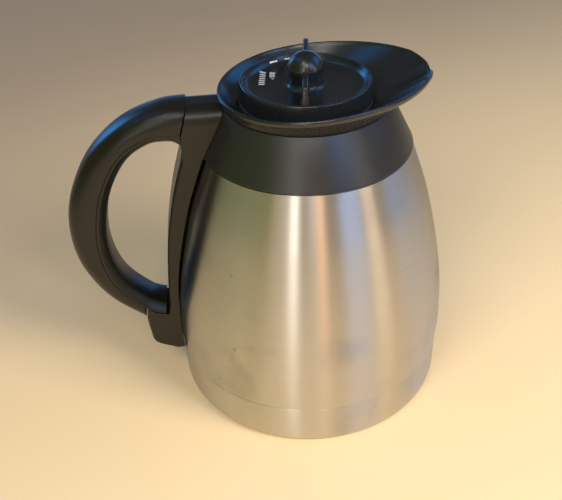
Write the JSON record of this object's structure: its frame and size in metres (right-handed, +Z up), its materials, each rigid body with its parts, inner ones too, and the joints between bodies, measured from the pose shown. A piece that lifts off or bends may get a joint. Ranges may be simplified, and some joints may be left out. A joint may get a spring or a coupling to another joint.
{
  "type": "thermal coffee carafe",
  "caption": "Double-walled steel coffee carafe with black collar, pouring rim, D handle and a twist lid with a central knob.",
  "frame": {"origin": "on the jug's axis, on the flat face it stands on", "axes": "+X towards the spout, -X towards the handle, +Z up along the jug's axis; the XZ plane is the handle and spout plane"},
  "size_m": [0.1981, 0.148, 0.1886],
  "materials": {
    "brushed_shell": "fine brushed",
    "liner_steel": "satin",
    "fixings": "zinc plated",
    "pad": "matte",
    "seals": "matte silicone",
    "collar_plastic": "satin",
    "grip_plastic": "satin",
    "rim_plastic": "polished",
    "marks": "printed"
  },
  "bodies": {
    "jug": {"outer_shell": "brushed_shell", "base_cup": "brushed_shell", "base_pad": "pad", "evacuation_plug": "fixings", "inner_flask": "liner_steel", "getter_disc": "fixings", "mouth_ring": "liner_steel", "neck_gasket": "seals", "neck_lock_ring": "collar_plastic", "collar": "collar_plastic", "pour_rim": "rim_plastic", "handle_frame": "collar_plastic", "grip_cover": "grip_plastic", "grip_liner": "grip_plastic", "collar_screw": "fixings", "foot_screw": "fixings", "foot_bracket": "fixings", "foot_plug": "collar_plastic"},
    "stopper": {"stopper_body": "collar_plastic", "stopper_seal": "seals", "stem_bush": "fixings"},
    "dial": {"lid_dial": "rim_plastic", "knob_cap": "rim_plastic", "open_mark": "marks", "closed_mark": "marks"},
    "valve": {"valve_plate": "collar_plastic", "valve_seal": "seals", "valve_stem": "collar_plastic", "cam_pin": "fixings"}
  },
  "joints": [
    {"name": "lid_lift", "type": "slide", "parent": "jug", "child": "stopper", "axis": [0, 0, 1], "range_m": [0, 0.045]},
    {"name": "dial_turn", "type": "hinge", "parent": "stopper", "child": "dial", "pos_m": [0, 0, 0.17], "axis": [0, 0, 1], "range_deg": [0, 52]},
    {"name": "valve_lift", "type": "slide", "parent": "stopper", "child": "valve", "axis": [0, 0, 1], "range_m": [-0.00245, 0]}
  ],
  "couplings": [
    {"joint": "valve_lift", "follows": "dial_turn", "m_per_rad": -0.0026444}
  ]
}
